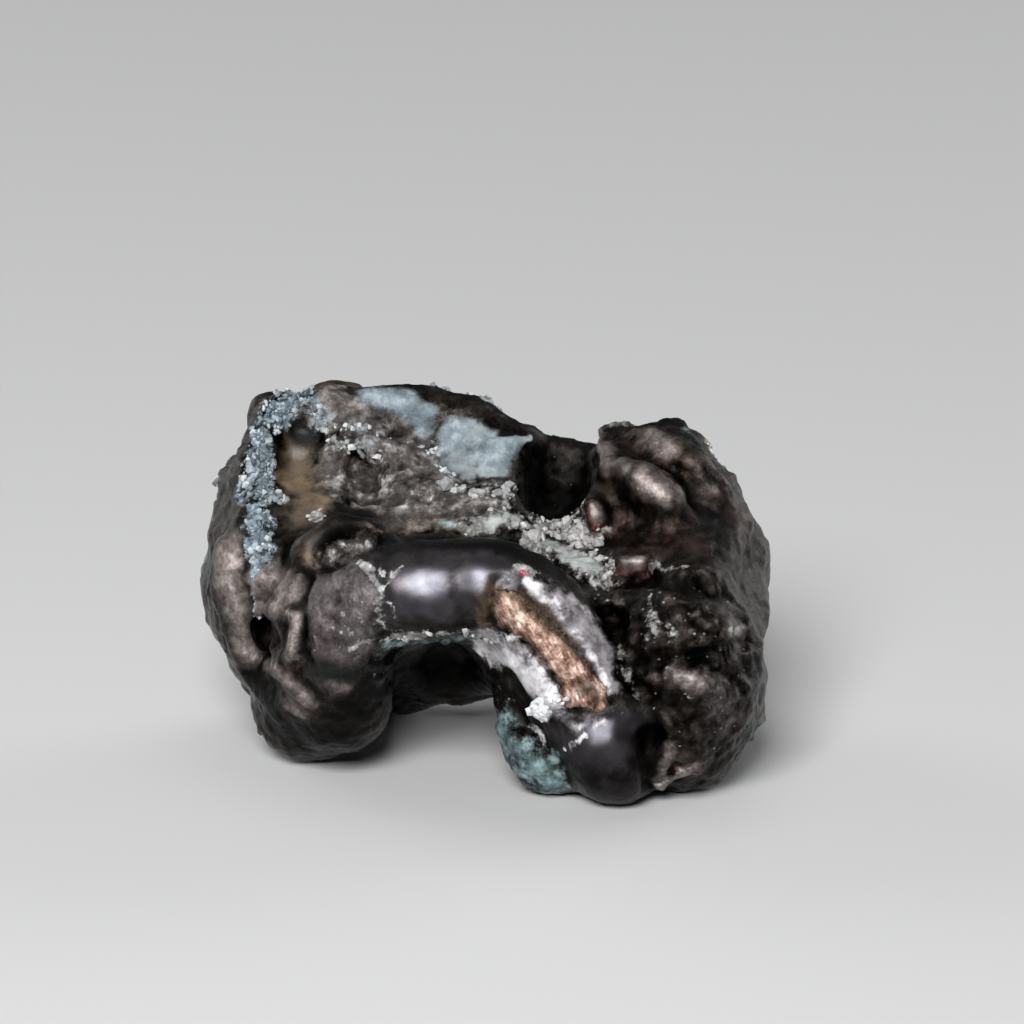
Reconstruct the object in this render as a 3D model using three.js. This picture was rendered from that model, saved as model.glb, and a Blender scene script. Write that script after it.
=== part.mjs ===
// A native copper nugget at its real size, in millimetres, with +Z up.
// The nugget is one piece of metal. Rounded lobes, an arched bar, folds and a rim of crust grew
// together, so the whole form is one smooth distance field, wrapped in a closed mesh.
// The origin is at the middle of the nugget's underside. +X runs along its length, and -Y faces the
// arched bar at its front.

import * as THREE from 'three';
import { ImprovedNoise } from 'three/addons/math/ImprovedNoise.js';

// Driving dimensions
const LENGTH = 33;
const DEPTH = 24;
const HEIGHT = 20;
const BAR_RADIUS = 2.8;
const RIM_RADIUS = 1.4;
const FOLD_RADIUS = 1;
const FOLD_SUNK = 0.1;
const KNOT_RADIUS = 1;

// How softly lobes, folds and hollows run into each other
const LOBE_BLEND = 1.8;
const FOLD_BLEND = 0.55;
const HOLLOW_BLEND = 1;

// The uneven swelling of the metal, which leaves the arched bar smooth
const SWELL_HEIGHT = 0.55;
const SWELL_SPACING = 3.4;
const SWELL_OFFSET = [7.3, 1.9, 4.1];
const SMOOTH_ROUND_BAR = 1.6;

// The front view looks down on the nugget by this angle
const VIEW_DROP = THREE.MathUtils.degToRad(17.3);

// The mesh: the size of a grid cell, and how its vertices settle on the surface
const CELL = 0.88;
const MARGIN = 3;
const SETTLE_STEPS = 15;
const STRAY_GAP = 0.2;
const RELAX_SHARE = 0.4;
const SLOPE_STEP = 0.02;
const SPOT_STEP = 0.05;

const COPPER_TARNISH = '#2b2422';

const vector = (xyz) => new THREE.Vector3(...xyz);

const unturned = (degrees) => {
  const angles = degrees.map(THREE.MathUtils.degToRad);
  return new THREE.Quaternion().setFromEuler(new THREE.Euler(...angles)).invert();
};

// A lobe is an ellipsoid: its centre, its three half sizes and its turn about X, Y and Z in degrees.
const lobe = (at, size, { turn = [0, 0, 0], blend = LOBE_BLEND } = {}) => {
  const centre = vector(at);
  const half = vector(size);
  const back = unturned(turn);
  const local = new THREE.Vector3();
  const distance = (p) => {
    local.copy(p).sub(centre).applyQuaternion(back).divide(half);
    const reach = local.length();
    const slope = Math.max(local.divide(half).length(), 1e-9);
    return (reach * (reach - 1)) / slope;
  };
  return { distance, blend };
};

// A slab is a block with round edges: given as a lobe is, with the radius of its edges.
const slab = (at, size, round, { turn = [0, 0, 0], blend = LOBE_BLEND } = {}) => {
  const centre = vector(at);
  const flat = vector(size).subScalar(round);
  const back = unturned(turn);
  const local = new THREE.Vector3();
  const distance = (p) => {
    local.copy(p).sub(centre).applyQuaternion(back);
    local.set(Math.abs(local.x), Math.abs(local.y), Math.abs(local.z)).sub(flat);
    const inside = Math.min(Math.max(local.x, local.y, local.z), 0);
    return local.clampScalar(0, Infinity).length() + inside - round;
  };
  return { distance, blend };
};

// A fold is a round cord of metal along a smooth curve, with a radius given at each point.
const fold = (points, radii, { blend = FOLD_BLEND } = {}) => {
  const curve = new THREE.CatmullRomCurve3(points.map(vector), false, 'centripetal');
  const spans = points.length - 1;
  const steps = spans * 4;
  const stations = curve.getPoints(steps).map((place, i) => {
    const share = (i / steps) * spans;
    const first = Math.min(Math.floor(share), spans - 1);
    return { place, radius: THREE.MathUtils.lerp(radii[first], radii[first + 1], share - first) };
  });
  const links = stations.slice(1).map((end, i) => {
    const along = end.place.clone().sub(stations[i].place);
    return { start: stations[i], end, along, lengthSq: along.lengthSq() };
  });
  const from = new THREE.Vector3();
  const distance = (p) => {
    let nearest = Infinity;
    for (const { start, end, along, lengthSq } of links) {
      from.subVectors(p, start.place);
      const share = THREE.MathUtils.clamp(from.dot(along) / lengthSq, 0, 1);
      const gap = from.addScaledVector(along, -share).length();
      nearest = Math.min(nearest, gap - THREE.MathUtils.lerp(start.radius, end.radius, share));
    }
    return nearest;
  };
  return { distance, blend };
};

const times = (radius, ...shares) => shares.map((share) => share * radius);

const smoothMin = (a, b, blend) => {
  const overlap = Math.max(blend - Math.abs(a - b), 0) / blend;
  return Math.min(a, b) - (overlap * overlap * blend) / 4;
};

const joined = (lumps, p) => {
  let form = Infinity;
  for (const { distance, blend } of lumps) {
    form = smoothMin(form, distance(p), blend);
  }
  return form;
};

// The heavy lobes that the rest grew on
const belly = lobe([-1, 4.6, 8.7], [12.6, 6.4, 6.9]);
const plate = slab([-5.4, 4.4, 11.8], [8.7, 6.4, 4], 2.4, { turn: [26, 0, 0] });
const backWall = lobe([-7.6, 6.6, 12.4], [6.6, 4, 6.2]);
const rightLobe = lobe([9.8, 4.2, 9.8], [6.2, 7, 8.2]);
const rightShoulder = lobe([10.8, -4.8, 6], [5, 5.7, 6.3]);
const rightFlank = lobe([11.7, -1.4, 8.4], [4.3, 6, 6]);
const leftFlank = lobe([-11.4, 4, 8.8], [5, 6, 7]);
const saddle = lobe([4.6, 7, 10.2], [5, 5, 6.5]);
const valleyCrust = lobe([5, -1.6, 10.2], [3, 3.4, 2.6]);
const web = lobe([-2, -2.6, 10.2], [7.4, 4, 3.2]);
const heart = lobe([5.6, -0.4, 5.4], [4.8, 5.4, 4.6]);

// What it stands on
const leftFoot = lobe([-10, -0.4, 3.6], [3.5, 3.8, 4]);
const greenFoot = fold(
  [[1, -3.6, 7], [2, -5, 4.4], [3.8, -6.4, 2]],
  times(BAR_RADIUS, 0.86, 0.9, 0.82),
  { blend: LOBE_BLEND },
);
const rearLeftFoot = lobe([-6, 7.2, 4.6], [4.6, 4, 5]);
const rearRightFoot = lobe([5.5, 7.6, 4.9], [5, 3.8, 5.3]);

// The arched bar at the front, from the left foot over the hollow and down the right leg
const archBar = fold(
  [
    [-8.4, -3, 4.4], [-8.4, -4.6, 8], [-6.6, -6, 11.2], [-3, -6.6, 12], [1.2, -6.6, 11.9],
    [3.7, -7.2, 9.6], [5.7, -7.9, 6.2], [7.3, -8.2, 2.7],
  ],
  times(BAR_RADIUS, 1.15, 1.18, 0.98, 1, 1, 1.06, 1.08, 1),
);

// The crusted rim round the sloping plate
const leftRim = fold(
  [[-12.2, 6.6, 18.2], [-13.2, 4.2, 16.5], [-13.4, 1.2, 14.1], [-12.8, -1.8, 11.6]],
  times(RIM_RADIUS, 1.05, 0.9, 1.1, 0.8),
);
const topRim = fold(
  [
    [-12.2, 6.6, 18.2], [-9.2, 7.2, 18.1], [-5.6, 7.6, 18.4], [-2.8, 7.6, 18.2], [-0.4, 7, 17.5],
    [2.2, 5.8, 16.7],
  ],
  times(RIM_RADIUS, 1.05, 1.05, 1.2, 1.1, 1.1, 0.8),
);
const rightRim = fold(
  [[2.2, 5.8, 16.7], [1.2, 3, 14.8], [0.8, -0.5, 13.2]],
  times(RIM_RADIUS, 0.8, 0.9, 0.7),
);

const bodyLumps = [
  belly, plate, backWall, rightLobe, rightShoulder, rightFlank, leftFlank, saddle, valleyCrust, web,
  heart, leftFoot, greenFoot, rearLeftFoot, rearRightFoot, archBar, leftRim, topRim, rightRim,
];

const bodyField = (p) => joined(bodyLumps, p);

const slopeOf = (field, p) => {
  const slope = new THREE.Vector3();
  const q = p.clone();
  for (const axis of ['x', 'y', 'z']) {
    q[axis] = p[axis] + SLOPE_STEP;
    const ahead = field(q);
    q[axis] = p[axis] - SLOPE_STEP;
    slope[axis] = (ahead - field(q)) / (2 * SLOPE_STEP);
    q[axis] = p[axis];
  }
  return slope;
};

// The place on those lobes that shows at a point of a view: from the front at side 0, from the right
// at side 90, and so on. The point is given across the view and up it. A positive raise lifts the
// place off the surface, and a negative one sinks it.
const spot = (side, [across, up], raise = 0) => {
  const frame = new THREE.Matrix4().makeRotationFromEuler(
    new THREE.Euler(-VIEW_DROP, 0, THREE.MathUtils.degToRad(side), 'ZXY'),
  );
  const ahead = new THREE.Vector3(0, 1, 0).transformDirection(frame);
  const place = new THREE.Vector3(across, -LENGTH, up).applyMatrix4(frame);
  let nearest = { gap: Infinity, place };
  for (let gone = 0; gone < 2 * LENGTH && nearest.gap > SLOPE_STEP; gone += SPOT_STEP) {
    const here = place.clone().addScaledVector(ahead, gone);
    const gap = Math.abs(bodyField(here));
    if (gap < nearest.gap) nearest = { gap, place: here };
    if (bodyField(here) < 0) break;
  }
  const out = slopeOf(bodyField, nearest.place).normalize();
  return nearest.place.addScaledVector(out, raise).toArray();
};

const foldOn = (side, points, radii, raise = -FOLD_SUNK) => {
  const places = points.map((point) => spot(side, point, raise));
  return fold(places, radii);
};

// The small loop between the bar and the plate, and what it sits on
const loopSeat = lobe([-8.2, -2.6, 12.2], [2.8, 2.2, 2.2]);
const loop = fold(
  [[-10.8, -4.2, 11], [-9.9, -3.2, 13.5], [-7.7, -2.8, 14.6], [-5.3, -3.8, 13.6]],
  times(FOLD_RADIUS, 0.9, 0.9, 0.9, 0.9),
);

// Upright folds on the left flank
const outerFold = foldOn(
  0,
  [[-14.9, 12.1], [-14.8, 9.5], [-13.8, 6], [-13.2, 4.2]],
  times(FOLD_RADIUS, 0.9, 1.2, 1.2, 0.9),
);
const innerFold = foldOn(0, [[-13, 9.9], [-11.9, 9.2], [-11.4, 7.6]], times(FOLD_RADIUS, 0.8, 1.1, 0.9));
const crossFold = foldOn(0, [[-12.2, 7], [-11.4, 5.4]], times(FOLD_RADIUS, 0.8, 0.9));
const lowerFold = foldOn(0, [[-13.2, 4.6], [-11.4, 2.5]], times(FOLD_RADIUS, 0.9, 0.8));

// Slanting folds and red knots on the right lobe
const upperFold = foldOn(
  0,
  [[9.2, 18], [11.6, 16.7], [13.2, 15], [14.6, 13.1]],
  times(FOLD_RADIUS, 0.9, 1.1, 1.1, 0.8),
);
const middleFold = foldOn(0, [[6.4, 17], [8.6, 15.7], [10.6, 14.2]], times(FOLD_RADIUS, 1, 1.2, 1));
const highKnot = lobe(spot(0, [6.3, 13.7]), times(KNOT_RADIUS, 0.8, 1, 1.2), { blend: FOLD_BLEND });
const lowKnot = lobe(spot(0, [8.5, 11]), times(KNOT_RADIUS, 1.4, 1, 1), { blend: FOLD_BLEND });

// Folds and lumps on the back and the right side
const backFold = foldOn(
  180,
  [[-11, 13], [-7, 12.4], [-3.6, 9.4], [-2.6, 6]],
  times(FOLD_RADIUS, 0.9, 1.3, 1.2, 0.9),
);
const backRidge = foldOn(
  180,
  [[1, 13], [5, 11], [10, 9.6], [13, 6.6]],
  times(FOLD_RADIUS, 1, 1.4, 1.2, 0.9),
);
const backLump = lobe(spot(180, [4.4, 6], -0.8), [2.6, 1.8, 2.2]);
const sideFold = foldOn(
  90,
  [[-6, 9], [-3, 8.4], [1.5, 9.6], [5, 7]],
  times(FOLD_RADIUS, 0.6, 0.8, 0.8, 0.6),
  -0.8,
);
const sideLump = lobe(spot(90, [3, 4.6], -1.4), [1.6, 2.6, 2.2]);

const lumps = [
  ...bodyLumps, loopSeat, loop, outerFold, innerFold, crossFold, lowerFold, upperFold, middleFold,
  highKnot, lowKnot, backFold, backRidge, backLump, sideFold, sideLump,
];

// Hollows: the recess under the arched bar, the worn flat on the right leg, then the pockets
const archHollow = lobe([-2.3, -5.6, 3], [2.9, 7.6, 5.9], { blend: HOLLOW_BLEND });
const wornFlat = slab([4.8, -11.35, 8.9], [1.6, 1.4, 4.6], 0.5, { turn: [-12, -27, 0], blend: 0.3 });
const brownHollow = lobe(
  spot(0, [-10.8, 16.3], 0.4),
  [1.3, 2.7, 1.6],
  { turn: [30, 0, 0], blend: FOLD_BLEND },
);
const loopPocket = lobe([-7.7, -4.8, 13.3], [1.5, 1.2, 0.9], { blend: FOLD_BLEND });
const flankPit = lobe(spot(0, [-12.7, 6.6], 0.3), [0.9, 1.2, 1.1], { blend: FOLD_BLEND });
const darkHollow = lobe(spot(0, [3.6, 15.6], 0.8), [1.8, 3, 2.4]);
const plateHollow = lobe(spot(0, [-7, 15.7], 0.5), [1.3, 1.4, 1.4], { blend: HOLLOW_BLEND });
const backHollow = lobe(spot(180, [-3.6, 12.6], 0.6), [2.4, 1.8, 1.6], { turn: [0, 24, 0] });
const sideHollow = lobe(spot(90, [-2.4, 6], 0.6), [1.8, 3, 1.4], { turn: [18, 0, 0] });
const hollows = [
  archHollow, wornFlat, brownHollow, loopPocket, flankPit, darkHollow, plateHollow, backHollow,
  sideHollow,
];

// The nugget's form: below zero inside the metal, zero on its surface
const noise = new ImprovedNoise();
const nuggetField = (p) => {
  let form = joined(lumps, p);
  for (const { distance, blend } of hollows) {
    form = -smoothMin(-form, distance(p), blend);
  }
  const [x, y, z] = SWELL_OFFSET.map((offset, i) => p.getComponent(i) / SWELL_SPACING + offset);
  const rough = THREE.MathUtils.smoothstep(archBar.distance(p), 0, SMOOTH_ROUND_BAR);
  return form - SWELL_HEIGHT * rough * noise.noise(x, y, z);
};

// Fills each gap that is narrower than a grid cell. There, the corners of a cell's side lie inside and
// outside by turns, and the outer corner that is nearest the metal goes inside.
const fillNarrowGaps = (value, stride) => {
  let filled = true;
  while (filled) {
    filled = false;
    for (let here = 0; here + stride[0] + stride[1] + stride[2] < value.length; here += 1) {
      for (const [u, v] of [[0, 1], [1, 2], [2, 0]]) {
        const pair = [here, here + stride[u] + stride[v]];
        const other = [here + stride[u], here + stride[v]];
        const inside = [...pair, ...other].map((corner) => value[corner] < 0);
        if (inside[0] !== inside[1] || inside[2] !== inside[3] || inside[0] === inside[2]) continue;
        const [a, b] = inside[0] ? other : pair;
        value[value[a] < value[b] ? a : b] = -SLOPE_STEP;
        filled = true;
      }
    }
  }
};

// Wraps the form in quads: one vertex in each grid cell that the surface crosses, and one quad round
// each grid edge that it crosses.
const wrapped = (field) => {
  const low = new THREE.Vector3(-LENGTH / 2 - MARGIN, -DEPTH / 2 - MARGIN, -MARGIN);
  const count = [LENGTH, DEPTH, HEIGHT].map((side) => Math.ceil((side + 2 * MARGIN) / CELL));
  const stride = [1, count[0] + 1, (count[0] + 1) * (count[1] + 1)];
  const at = (i, j, k) => i + j * stride[1] + k * stride[2];
  const corner = (i, j, k) => new THREE.Vector3(i, j, k).multiplyScalar(CELL).add(low);
  const value = new Float64Array(stride[2] * (count[2] + 1));
  for (let k = 0; k <= count[2]; k += 1) {
    for (let j = 0; j <= count[1]; j += 1) {
      for (let i = 0; i <= count[0]; i += 1) value[at(i, j, k)] = field(corner(i, j, k));
    }
  }

  fillNarrowGaps(value, stride);

  const points = [];
  const pointOf = new Map();
  const cellPoint = (i, j, k) => {
    const key = at(i, j, k);
    if (!pointOf.has(key)) {
      pointOf.set(key, points.length);
      points.push(corner(i + 0.5, j + 0.5, k + 0.5));
    }
    return pointOf.get(key);
  };
  const quads = [];
  const cell = [0, 0, 0];
  for (cell[2] = 1; cell[2] < count[2]; cell[2] += 1) {
    for (cell[1] = 1; cell[1] < count[1]; cell[1] += 1) {
      for (cell[0] = 1; cell[0] < count[0]; cell[0] += 1) {
        const here = at(...cell);
        for (let axis = 0; axis < 3; axis += 1) {
          const inside = value[here] < 0;
          if (inside === value[here + stride[axis]] < 0) continue;
          const [u, v] = [(axis + 1) % 3, (axis + 2) % 3];
          const ring = [[0, 0], [1, 0], [1, 1], [0, 1]].map(([du, dv]) => {
            const around = [...cell];
            around[u] -= du;
            around[v] -= dv;
            return cellPoint(...around);
          });
          quads.push(inside ? ring : ring.reverse());
        }
      }
    }
  }
  return { points, quads };
};

// Slides every vertex towards its neighbours' middle and back onto the surface, a few times over.
// No vertex leaves its own cell, so the faces never fold over each other. A vertex over a filled gap
// is left far from the surface, and ends up in its neighbours' middle.
const settle = (field, points, quads) => {
  const reach = new THREE.Vector3(CELL / 2, CELL / 2, CELL / 2);
  const cells = points.map((p) => new THREE.Box3(p.clone().sub(reach), p.clone().add(reach)));
  const neighbours = points.map(() => new Set());
  for (const quad of quads) {
    quad.forEach((p, i) => neighbours[p].add(quad[(i + 1) % 4]).add(quad[(i + 3) % 4]));
  }
  for (let step = 0; step < SETTLE_STEPS; step += 1) {
    const middles = neighbours.map((set) => {
      const middle = new THREE.Vector3();
      for (const n of set) middle.add(points[n]);
      return middle.divideScalar(set.size);
    });
    points.forEach((p, i) => {
      p.lerp(middles[i], RELAX_SHARE);
      const slope = slopeOf(field, p);
      const push = -field(p) / Math.max(slope.lengthSq(), 0.1);
      const limit = step < SETTLE_STEPS / 3 ? CELL : STRAY_GAP;
      if (Math.abs(push) < limit) p.addScaledVector(slope, push);
      cells[i].clampPoint(p, p);
    });
  }
};

// The closed mesh of the form, with its feet cut off flat where it stands
const meshOf = (field) => {
  const { points, quads } = wrapped(field);
  settle(field, points, quads);
  for (const p of points) p.z = Math.max(p.z, 0);
  const corners = [];
  for (const [a, b, c, d] of quads) {
    const shortAC = points[a].distanceTo(points[c]) < points[b].distanceTo(points[d]);
    corners.push(...(shortAC ? [a, b, c, a, c, d] : [a, b, d, b, c, d]));
  }
  const geometry = new THREE.BufferGeometry().setFromPoints(points);
  geometry.setIndex(corners);
  geometry.computeBoundingBox();
  const size = geometry.boundingBox.getSize(new THREE.Vector3());
  const middle = geometry.boundingBox.getCenter(new THREE.Vector3());
  geometry.translate(-middle.x, -middle.y, 0);
  return geometry.scale(LENGTH / size.x, DEPTH / size.y, HEIGHT / size.z);
};

const nugget = new THREE.Mesh(
  meshOf(nuggetField),
  new THREE.MeshStandardMaterial({ color: COPPER_TARNISH, roughness: 0.4, metalness: 0.6 }),
);
nugget.name = 'nugget';

const part = new THREE.Group();
part.add(nugget);

export default part;
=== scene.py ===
"""A native copper nugget, dressed for its looks.

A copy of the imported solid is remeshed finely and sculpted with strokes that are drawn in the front
view. The same strokes paint masks for each finish: tarnish, crust, bare copper and so on. The masks
steer the fine relief and one layered material.
"""

import math

import bpy
import numpy as np
from mathutils import Euler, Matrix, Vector, noise
from mathutils.bvhtree import BVHTree


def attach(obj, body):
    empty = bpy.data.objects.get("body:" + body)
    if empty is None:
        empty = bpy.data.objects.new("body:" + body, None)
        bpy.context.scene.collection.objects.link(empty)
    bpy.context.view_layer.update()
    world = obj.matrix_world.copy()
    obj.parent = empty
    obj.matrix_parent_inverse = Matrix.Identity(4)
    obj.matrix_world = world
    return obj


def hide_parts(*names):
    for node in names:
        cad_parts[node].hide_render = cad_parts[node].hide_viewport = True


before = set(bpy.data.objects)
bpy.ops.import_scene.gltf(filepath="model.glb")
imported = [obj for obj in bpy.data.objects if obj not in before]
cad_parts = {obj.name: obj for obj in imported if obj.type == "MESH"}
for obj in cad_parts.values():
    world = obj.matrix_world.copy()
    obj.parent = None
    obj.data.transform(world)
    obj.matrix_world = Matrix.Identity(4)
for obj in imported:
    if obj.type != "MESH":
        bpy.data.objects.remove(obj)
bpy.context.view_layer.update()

MM = 0.001

# The front view: an image of 1024 pixels square, seen from a little above
VIEW_SIDE = 1024
VIEW_DROP = math.radians(17.3)
PIXELS_PER_MM = 17.3
FOCAL_PIXELS = 6704
ORIGIN_PIXEL = (489.8, 748.1)
SENSOR_WIDTH = 36
VIEW_RIGHT = Vector((1, 0, 0))
VIEW_UP = Vector((0, math.sin(VIEW_DROP), math.cos(VIEW_DROP)))
VIEW_BACK = Vector((0, -math.cos(VIEW_DROP), math.sin(VIEW_DROP)))
VIEW_MIDDLE = MM / PIXELS_PER_MM * (
    VIEW_RIGHT * (VIEW_SIDE / 2 - ORIGIN_PIXEL[0]) + VIEW_UP * (ORIGIN_PIXEL[1] - VIEW_SIDE / 2)
)
CAMERA_PLACE = VIEW_MIDDLE + VIEW_BACK * (FOCAL_PIXELS / PIXELS_PER_MM * MM)

# The fine mesh: the gap that is closed, the size of its faces, and how it is smoothed
MERGE_GAP = 0.001 * MM
VOXEL = 0.2 * MM
SMOOTHING = 14
SMOOTHING_SHARE = 0.5

# Steps in which relief fades at its edges
WEIGHT_STEPS = 25

# A hollow is judged against this many rings of neighbours, and counts in full at this depth
HOLLOW_REACH = 6
HOLLOW_DEPTH = 0.12 * MM

# Pixels between the places along a stroke
STROKE_STEP = 5

# A stroke's influence ends at this many times its radius
SCULPT_SPREAD = 1.6
PAINT_SPREAD = 2

# The right leg runs along this line, and the fibres of the bare copper with it
LEG_LINE = Vector((0.5, -0.175, -0.85)).normalized()

# Sculpting strokes: points in the front view's pixels, radius in mm, height in mm
SCULPT = [
    # Folds of the left flank, and the pit between them
    ([(226, 545), (228, 580), (240, 612), (250, 650)], 0.9, 0.5),
    ([(256, 578), (275, 580), (288, 596)], 0.9, 0.4),
    ([(260, 608), (280, 612), (297, 616)], 0.5, 0.35),
    ([(297, 616), (294, 640), (290, 662)], 0.5, 0.35),
    ([(265, 662), (287, 680), (307, 700)], 0.6, 0.4),
    ([(265, 630), (272, 645)], 0.8, -0.9),
    ([(244, 560), (250, 592), (258, 620)], 0.6, -0.35),
    ([(285, 706), (298, 710)], 0.7, 0.25),
    # The crease between the flank and the bar
    ([(308, 578), (300, 615), (304, 655)], 0.5, -0.3),
    # The loop over the bar's left end, and its pocket
    ([(311, 566), (316, 541), (331, 523), (360, 516), (386, 523)], 0.7, 0.3),
    ([(328, 556), (345, 546), (364, 544)], 0.9, -0.5),
    ([(336, 552), (342, 548)], 0.4, 0.3),
    ([(358, 550), (364, 546)], 0.35, 0.3),
    # Bulges and dents of the bar
    ([(425, 585), (428, 586)], 0.8, -0.09),
    ([(477, 583), (480, 585)], 0.65, -0.08),
    ([(450, 615), (475, 612)], 0.8, -0.08),
    ([(372, 568), (380, 600), (382, 630)], 0.6, -0.15),
    ([(392, 532), (450, 527), (520, 540), (556, 558)], 0.5, -0.45),
    ([(528, 548), (548, 556), (562, 570)], 0.45, -0.45),
    # The worn face of the leg, the creases round it, and the lumps below
    ([(497, 580), (488, 622)], 0.35, -0.22),
    ([(512, 612), (540, 640), (578, 672)], 0.7, 0.14),
    ([(526, 590), (552, 620), (582, 650), (604, 690)], 0.25, -0.2),
    ([(522, 640), (545, 668), (562, 692)], 0.25, -0.25),
    ([(500, 655), (515, 668)], 0.5, 0.15),
    ([(588, 694), (594, 698)], 0.55, -0.3),
    ([(536, 716), (546, 704), (558, 698)], 0.5, 0.45),
    ([(555, 726), (580, 718), (605, 712)], 0.7, -0.25),
    ([(593, 730), (597, 727)], 0.8, -0.2),
    ([(625, 727), (627, 731)], 0.8, -0.2),
    # The cleft between the leg's end and the right mass
    ([(650, 738), (651, 764), (652, 790)], 0.7, -0.6),
    ([(600, 600), (628, 650), (645, 700), (650, 738)], 0.8, -0.35),
    # Ledges and lines of the right mass
    ([(680, 672), (704, 684)], 0.8, 0.35),
    ([(650, 616), (660, 640)], 0.6, 0.25),
    ([(705, 690), (735, 720)], 1.6, 0.25),
    ([(640, 660), (680, 662), (712, 652), (742, 640)], 0.5, -0.4),
    ([(640, 690), (665, 702), (690, 722)], 0.6, -0.3),
    ([(668, 750), (660, 784)], 0.4, 0.25),
    ([(662, 784), (692, 768)], 0.4, 0.25),
    ([(670, 770), (676, 768)], 0.5, -0.25),
    ([(610, 584), (650, 577), (700, 584)], 0.7, -0.4),
    # Folds and knots of the right lobe
    ([(622, 463), (634, 470)], 0.8, 0.25),
    ([(648, 480), (668, 491)], 1.2, 0.35),
    ([(652, 436), (664, 442)], 0.9, 0.3),
    ([(678, 450), (692, 461)], 0.8, 0.2),
    ([(702, 474), (714, 488)], 1.0, 0.3),
    ([(604, 446), (606, 472)], 0.6, 0.3),
    ([(630, 448), (652, 462), (672, 470)], 0.5, -0.3),
    ([(688, 474), (692, 500)], 0.5, -0.2),
    ([(594, 508), (598, 524)], 0.6, 0.6),
    ([(628, 563), (641, 564)], 0.55, 0.5),
    ([(630, 520), (664, 530)], 1.2, -0.4),
    # Hollows and lumps of the plate
    ([(298, 455), (300, 500)], 1.1, 0.45),
    ([(300, 430), (316, 438)], 0.6, -0.3),
    ([(365, 472), (366, 492)], 0.9, -0.6),
    ([(404, 432), (408, 440)], 0.7, -0.4),
    ([(330, 404), (350, 410)], 1.3, 0.4),
    ([(420, 470), (440, 490)], 1.2, 0.3),
    ([(380, 440), (398, 455)], 0.9, 0.3),
    ([(351, 501), (354, 503)], 0.35, -0.5),
    ([(372, 396), (400, 402), (418, 414)], 0.8, 0.25),
    ([(448, 440), (475, 436), (494, 447)], 0.9, 0.4),
    ([(462, 462), (488, 464)], 0.8, 0.35),
    ([(494, 447), (512, 443)], 0.5, 0.3),
    ([(512, 443), (528, 438)], 0.3, 0.15),
]

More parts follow.
